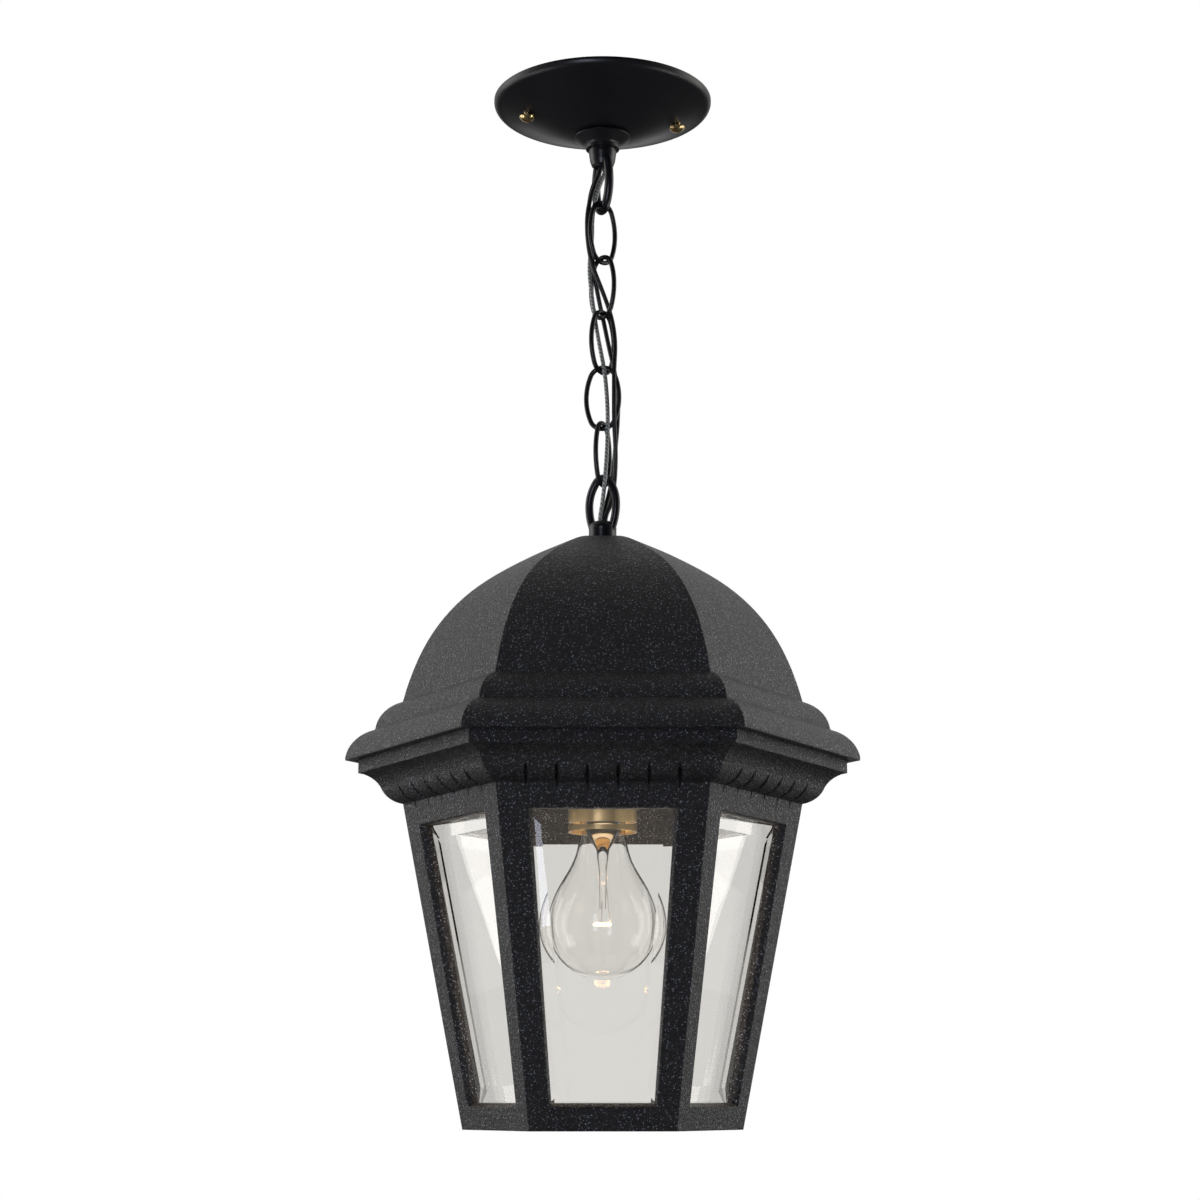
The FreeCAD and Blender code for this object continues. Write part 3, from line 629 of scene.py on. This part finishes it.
@dataclass
class Bulb:
    """The screw-in bulb's fine pieces: its thread, coiled filament and support wires.

    Attributes:
        arc_radius: radius of the filament's arc, in millimetres.
        arc_height: its height above the cage's bottom plane.
        arc_start: where the arc starts, in degrees.
        arc_sweep: how far it goes round, in degrees.
        turns: turns of its coil.
        coil_radius: radius of the coil.
        pitch: pitch of the cap's thread.
    """

    arc_radius: float = 4.4
    arc_height: float = 109.5
    arc_start: float = 20.0
    arc_sweep: float = 320.0
    turns: int = 26
    coil_radius: float = 0.5
    pitch: float = 3.63

    def on_arc(self, angle: float, out: float = 0.0, up: float = 0.0) -> Vector:
        """Point beside the filament's arc, at an angle in radians."""
        reach = mm(self.arc_radius + out)
        return Vector((reach * math.cos(angle), reach * math.sin(angle),
                       level(self.arc_height + up)))

    def coil(self) -> bpy.types.Object:
        """The coiled filament."""
        count = self.turns * 10
        points = []
        for n in range(count + 1):
            angle = math.radians(self.arc_start + self.arc_sweep * n / count)
            lap = math.tau * self.turns * n / count
            points.append(self.on_arc(angle, self.coil_radius * math.cos(lap),
                                      self.coil_radius * math.sin(lap)))
        return wire_along("filament_coil", points, mm(0.14), 1)

    def wires(self) -> list[bpy.types.Object]:
        """Two lead-in wires and three support wires, each hooked round the coil.

        Returns:
            The pieces.
        """
        made = []
        ends = (self.arc_start, self.arc_start + self.arc_sweep)
        for n, turn in enumerate(ends, 1):
            angle = math.radians(turn)
            side = 1.0 if n == 1 else -1.0
            route = [self.on_arc(angle, 0.3, -0.5), self.on_arc(angle, 0.0, 0.4),
                     Vector((mm(3.2), mm(1.6 * side), level(118.0))),
                     Vector((mm(2.0), mm(1.1 * side), level(130.0))),
                     Vector((mm(1.6), mm(0.9 * side), level(142.0)))]
            made.append(wire_along("filament_lead_%d" % n, route, mm(0.32), 2))
        for n, turn in enumerate((100.0, 180.0, 260.0), 1):
            angle = math.radians(turn)
            hook = [self.on_arc(angle, 0.75 * math.cos(math.radians(a)),
                                0.75 * math.sin(math.radians(a)))
                    for a in range(-60, 200, 30)]
            foot = Vector((mm(1.4 * math.cos(angle)), mm(1.4 * math.sin(angle)), level(122.0)))
            made.append(wire_along("filament_support_%d" % n, hook + [foot], mm(0.16), 1))
        return made

    def cap(self) -> bpy.types.Object:
        """The rolled screw cap: a plain skirt, the rounded thread, and a cone to the insulator.

        Returns:
            The cap's body; the thread is dressed and rides with the bulb here.
        """
        low, high, root, crest, thick = 168.0, 184.0, 11.9, 12.9, 0.3
        steps, divisions = 36, 8
        laps = int((high - low - 1.5) / self.pitch)
        shape = bmesh.new()
        verts = []
        for n in range(divisions + 1):
            swell = 0.5 * (1 - math.cos(math.tau * n / divisions))
            verts.append(shape.verts.new((mm(root + (crest - root) * swell), 0.0,
                                          level(low + 0.6 + self.pitch * n / divisions))))
        edges = [shape.edges.new(pair) for pair in zip(verts, verts[1:])]
        bmesh.ops.spin(shape, geom=verts + edges, cent=(0.0, 0.0, 0.0), axis=(0.0, 0.0, 1.0),
                       dvec=(0.0, 0.0, mm(self.pitch) / steps), angle=math.tau * (laps - 1),
                       steps=steps * (laps - 1), use_merge=False)
        bmesh.ops.remove_doubles(shape, verts=shape.verts[:], dist=mm(0.01))
        bmesh.ops.recalc_face_normals(shape, faces=shape.faces[:])
        bmesh.ops.solidify(shape, geom=shape.faces[:], thickness=mm(thick))
        thread = kept("bulb_cap_thread", shape)
        body = spun("bulb_cap_shell", [(12.45, 163.0), (12.85, 163.0), (12.85, 166.6), (11.95, 168.4),
                                       (11.85, 183.0), (11.2, 184.6), (9.5, 186.1), (0.0, 186.1),
                                       (0.0, 185.7), (9.3, 185.7), (10.9, 184.3), (11.5, 182.8),
                                       (11.6, 168.6), (12.45, 166.4)])
        thread.data.materials.append(Look.CAP.material())
        dress(body, Look.CAP)
        Look.CAP.slot
        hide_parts("bulb_cap")
        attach(thread, "bulb")
        return body

    def build(self) -> list[bpy.types.Object]:
        """Make the bulb's pieces.

        Returns:
            The pieces.
        """
        coil = self.coil()
        dress(coil, Look.FILAMENT)
        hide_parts("filament")
        wires = self.wires()
        for wire in wires:
            dress(wire, Look.SUPPORT)
        cap = self.cap()
        for piece in [coil, cap] + wires:
            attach(piece, "bulb")
        return [coil, cap] + wires


@dataclass
class Studio:
    """Floor, lights and camera."""

    lens: float = 71.469
    distance: float = 1.3087
    aside: float = -0.0015
    above_foot: float = 0.0173
    tilt: float = 11.78
    floor_drop: float = 1.5

    def floor(self) -> None:
        """A floor well below the lantern, dim as a light source but white to the eye."""
        mesh = bpy.data.meshes.new("floor")
        shape = bmesh.new()
        bmesh.ops.create_circle(shape, cap_ends=True, segments=96, radius=14.0)
        bmesh.ops.translate(shape, verts=shape.verts[:],
                            vec=(0.0, 0.0, -HANG - self.floor_drop))
        shape.to_mesh(mesh)
        shape.free()
        ground = bpy.data.objects.new("floor", mesh)
        bpy.context.scene.collection.objects.link(ground)
        wiring = Wiring("floor")
        seen = wiring.node("LightPath")
        through = wiring.add(seen.outputs["Is Transmission Ray"], THROUGH_GLASS, "MULTIPLY")
        shine = wiring.add(seen.outputs["Is Camera Ray"], through, "MAXIMUM")
        wiring.set(Base_Color=(0.12, 0.12, 0.12, 1.0), Roughness=0.8,
                   Emission_Color=(1.0, 1.0, 1.0, 1.0), Emission_Strength=shine)
        mesh.materials.append(wiring.material)

    def lamp(self, name: str, place: Point, aim: Point, size: tuple[float, float],
             power: float, colour: Colour = (1.0, 1.0, 1.0)) -> None:
        """A soft rectangular light.

        Args:
            name: the light's name.
            place: its centre.
            aim: the point it faces.
            size: its width and height.
            power: its power in watts.
            colour: its colour.
        """
        light = bpy.data.lights.new(name, "AREA")
        light.shape = "RECTANGLE"
        light.size, light.size_y = size
        light.energy = power
        light.color = colour
        holder = bpy.data.objects.new(name, light)
        holder.location = place
        toward = Vector(aim) - Vector(place)
        holder.rotation_euler = toward.to_track_quat("-Z", "Y").to_euler()
        bpy.context.scene.collection.objects.link(holder)

    def glow(self, name: str, place: Point, power: float) -> None:
        """A small warm light that stands for the filament's, which the glass would hold back.

        Args:
            name: the light's name.
            place: its centre.
            power: its power in watts.
        """
        light = bpy.data.lights.new(name, "POINT")
        light.energy = power
        light.color = (1.0, 0.70, 0.38)
        light.shadow_soft_size = mm(3.0)
        holder = bpy.data.objects.new(name, light)
        holder.location = place
        holder.visible_camera = False
        holder.visible_transmission = False
        holder.visible_glossy = False
        bpy.context.scene.collection.objects.link(holder)

    def world(self) -> None:
        """White surroundings, dimmer toward the viewer's side."""
        world = bpy.data.worlds.new("studio")
        world.use_nodes = True
        tree = world.node_tree
        tree.nodes.clear()
        where = tree.nodes.new("ShaderNodeTexCoord")
        split = tree.nodes.new("ShaderNodeSeparateXYZ")
        ramp = tree.nodes.new("ShaderNodeMapRange")
        ramp.inputs["From Min"].default_value = -0.6
        ramp.inputs["From Max"].default_value = 0.35
        ramp.inputs["To Min"].default_value = 0.02
        ramp.inputs["To Max"].default_value = 0.5
        under = tree.nodes.new("ShaderNodeMapRange")
        under.inputs["From Min"].default_value = -0.5
        under.inputs["From Max"].default_value = 0.1
        under.inputs["To Min"].default_value = 0.12
        both = tree.nodes.new("ShaderNodeMath")
        both.operation = "MULTIPLY"
        seen = tree.nodes.new("ShaderNodeLightPath")
        through = tree.nodes.new("ShaderNodeMix")
        pick = tree.nodes.new("ShaderNodeMix")
        shade = tree.nodes.new("ShaderNodeBackground")
        out = tree.nodes.new("ShaderNodeOutputWorld")
        tree.links.new(where.outputs["Generated"], split.inputs["Vector"])
        tree.links.new(split.outputs["Y"], ramp.inputs["Value"])
        tree.links.new(split.outputs["Z"], under.inputs["Value"])
        tree.links.new(ramp.outputs["Result"], both.inputs[0])
        tree.links.new(under.outputs["Result"], both.inputs[1])
        through.inputs[3].default_value = THROUGH_GLASS
        tree.links.new(seen.outputs["Is Transmission Ray"], through.inputs[0])
        tree.links.new(both.outputs["Value"], through.inputs[2])
        tree.links.new(seen.outputs["Is Camera Ray"], pick.inputs[0])
        tree.links.new(through.outputs[0], pick.inputs[2])
        shade.inputs["Color"].default_value = (1.0, 1.0, 1.0, 1.0)
        pick.inputs[3].default_value = 1.0
        tree.links.new(pick.outputs[0], shade.inputs["Strength"])
        tree.links.new(shade.outputs["Background"], out.inputs["Surface"])
        bpy.context.scene.world = world

    def camera(self) -> None:
        """The camera, just above the cage's foot and looking up."""
        data = bpy.data.cameras.new("camera")
        data.sensor_width = 36.0
        data.lens = self.lens
        data.clip_start, data.clip_end = 0.01, 100.0
        holder = bpy.data.objects.new("camera", data)
        holder.location = (self.aside, -self.distance, self.above_foot - HANG)
        holder.rotation_euler = (math.radians(90.0 + self.tilt), 0.0, 0.0)
        bpy.context.scene.collection.objects.link(holder)
        bpy.context.scene.camera = holder

    def build(self) -> None:
        """Set up everything around the lantern."""
        self.floor()
        self.world()
        middle = (0.0, 0.0, -0.3)
        self.lamp("side_left", (-1.5, 0.35, -0.1), middle, (1.0, 1.6), 9.0, (1.0, 0.97, 0.93))
        self.lamp("side_right", (1.5, 0.35, -0.1), middle, (1.0, 1.6), 9.0, (1.0, 0.97, 0.93))
        self.lamp("front_strip", (-0.45, -1.6, -0.45), (0.0, 0.0, -0.40), (0.30, 1.0), 6.0,
                  (0.78, 0.83, 1.0))
        self.lamp("low_left", (-1.3, -0.2, -1.1), (0.0, 0.0, -0.1), (0.5, 0.5), 3.0)
        self.lamp("low_right", (1.3, -0.2, -1.1), (0.0, 0.0, -0.1), (0.5, 0.5), 3.0)
        self.glow("bulb_light", (0.0, 0.0, level(Bulb.arc_height)), 1.1)
        self.camera()
        bpy.context.scene.view_settings.view_transform = "Standard"


def main() -> None:
    """Dress the frame, add the pieces and set up the studio."""
    logging.basicConfig(level=logging.INFO, format="%(message)s")
    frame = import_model()
    dress_nodes(frame)
    for name, piece in frame["nodes"].items():
        if name.startswith(("glass_pane", "bulb_glass", "bulb_stem")):
            piece.visible_shadow = False
    LOG.info("dressed %d nodes", len(frame["nodes"]))
    for group in (Leads(), Bulb()):
        for piece in group.build():
            LOG.info("built %s", piece.name)
    Studio().build()


if __name__ == "__main__":
    main()
